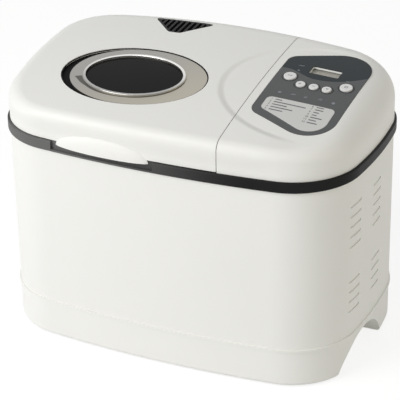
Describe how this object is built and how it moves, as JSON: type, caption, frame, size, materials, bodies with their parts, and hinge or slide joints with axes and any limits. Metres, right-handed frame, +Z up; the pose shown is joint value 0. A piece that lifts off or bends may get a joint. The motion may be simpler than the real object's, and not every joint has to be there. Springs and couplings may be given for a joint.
{
  "type": "bread machine",
  "caption": "Countertop bread machine with bowed white casing, hinged lid with oval window, side control panel, oven chamber with lift-out pan, bail handle and belt-driven kneading paddle.",
  "frame": {"origin": "middle of the footprint, on the worktop", "axes": "+X to the control housing side, -Y to the front with the lip, +Z up"},
  "size_m": [0.352, 0.2283, 0.265],
  "materials": {
    "ivory_plastic": "smooth satin moulding",
    "dark_plastic": "fine matt moulding",
    "panel_plastic": "matt printed film",
    "card_film": "matt printed film",
    "button_plastic": "satin moulding",
    "display_glass": "clear",
    "display_film": "grey display",
    "window_glass": "dark tinted glass",
    "ring_steel": "satin brushed",
    "steel": "plain machined",
    "chamber_steel": "coated sheet",
    "liner_aluminium": "plain sheet",
    "pan_coating": "dark non-stick coating",
    "collar_aluminium": "die-cast",
    "element_steel": "dark heat-tinted sheath",
    "ceramic": "unglazed ceramic",
    "bush_bronze": "sintered",
    "rubber": "matt rubber",
    "seal_rubber": "matt silicone",
    "board": "circuit board",
    "part_plastic": "moulding",
    "pulley_plastic": "moulded nylon",
    "zinc_cast": "die-cast"
  },
  "bodies": {
    "housing": {"base_tray": "ivory_plastic", "rubber_feet": "rubber", "outer_casing": "ivory_plastic", "cord_gland": "dark_plastic", "top_frame": "dark_plastic", "hinge_pins": "steel", "control_housing": "ivory_plastic", "control_panel": "panel_plastic", "program_card": "card_film", "display_lens": "display_glass", "lcd_module": "display_film", "control_board": "board", "key_switches": "part_plastic", "case_screws": "steel", "oven_chamber": "chamber_steel", "chamber_spacers": "ceramic", "heating_element": "element_steel", "element_clips": "steel", "element_insulators": "ceramic", "temperature_probe": "steel", "thermal_fuse": "ceramic", "pan_socket": "zinc_cast", "chassis_plate": "steel", "bearing_housing": "zinc_cast", "shaft_bushes": "bush_bronze", "motor_caps": "zinc_cast", "motor_core": "steel", "motor_bolts": "steel", "drive_belt": "rubber", "capacitor": "zinc_cast", "power_board": "board", "terminal_block": "part_plastic", "control_loom": "part_plastic"},
    "lid": {"lid_cover": "ivory_plastic", "lid_liner": "liner_aluminium", "lid_screws": "steel", "window_carrier": "dark_plastic", "window_ring": "ring_steel", "window_glass": "window_glass", "window_seal": "seal_rubber", "vent_grille": "dark_plastic"},
    "pan": {"bread_pan": "pan_coating", "pan_collar": "collar_aluminium", "pan_bush": "bush_bronze", "shaft_seal": "seal_rubber"},
    "pan_handle": {"pan_bail": "steel"},
    "kneader": {"paddle_shaft": "steel", "kneading_paddle": "pan_coating"},
    "drive": {"drive_shaft": "steel", "drive_dog": "zinc_cast", "large_pulley": "pulley_plastic"},
    "motor": {"motor_rotor": "steel", "motor_pulley": "pulley_plastic", "cooling_fan": "part_plastic"},
    "left_button": {"left_button": "button_plastic"},
    "right_button": {"right_button": "button_plastic"},
    "first_key": {"first_key": "button_plastic"},
    "second_key": {"second_key": "button_plastic"},
    "third_key": {"third_key": "button_plastic"}
  },
  "joints": [
    {"name": "lid_hinge", "type": "hinge", "parent": "housing", "child": "lid", "pos_m": [-0.06, 0.097, 0.228], "axis": [-1, 0, 0], "range_deg": [0, 80]},
    {"name": "pan_twist", "type": "hinge", "parent": "housing", "child": "pan", "pos_m": [-0.058, 0, 0.07], "axis": [0, 0, 1], "range_deg": [0, 10]},
    {"name": "bail_swing", "type": "hinge", "parent": "pan", "child": "pan_handle", "pos_m": [-0.058, 0, 0.174], "axis": [-1, 0, 0], "range_deg": [0, 141]},
    {"name": "drive_spin", "type": "hinge", "parent": "housing", "child": "drive", "pos_m": [-0.058, 0, 0.03], "axis": [0, 0, 1], "continuous": true},
    {"name": "kneader_spin", "type": "hinge", "parent": "pan", "child": "kneader", "pos_m": [-0.058, 0, 0.08], "axis": [0, 0, 1], "continuous": true},
    {"name": "motor_spin", "type": "hinge", "parent": "housing", "child": "motor", "pos_m": [0.115, 0, 0.07], "axis": [0, 0, 1], "continuous": true},
    {"name": "left_button_press", "type": "slide", "parent": "housing", "child": "left_button", "axis": [-0.0516, 0.125, -0.9908], "range_m": [0, 0.0008], "stiffness_N_per_m": 1500},
    {"name": "right_button_press", "type": "slide", "parent": "housing", "child": "right_button", "axis": [-0.0516, 0.125, -0.9908], "range_m": [0, 0.0008], "stiffness_N_per_m": 1500},
    {"name": "first_key_press", "type": "slide", "parent": "housing", "child": "first_key", "axis": [-0.0516, 0.125, -0.9908], "range_m": [0, 0.0008], "stiffness_N_per_m": 1500},
    {"name": "second_key_press", "type": "slide", "parent": "housing", "child": "second_key", "axis": [-0.0516, 0.125, -0.9908], "range_m": [0, 0.0008], "stiffness_N_per_m": 1500},
    {"name": "third_key_press", "type": "slide", "parent": "housing", "child": "third_key", "axis": [-0.0516, 0.125, -0.9908], "range_m": [0, 0.0008], "stiffness_N_per_m": 1500}
  ],
  "couplings": [
    {"joint": "kneader_spin", "follows": "drive_spin", "ratio": 1},
    {"joint": "motor_spin", "follows": "drive_spin", "ratio": 5}
  ]
}
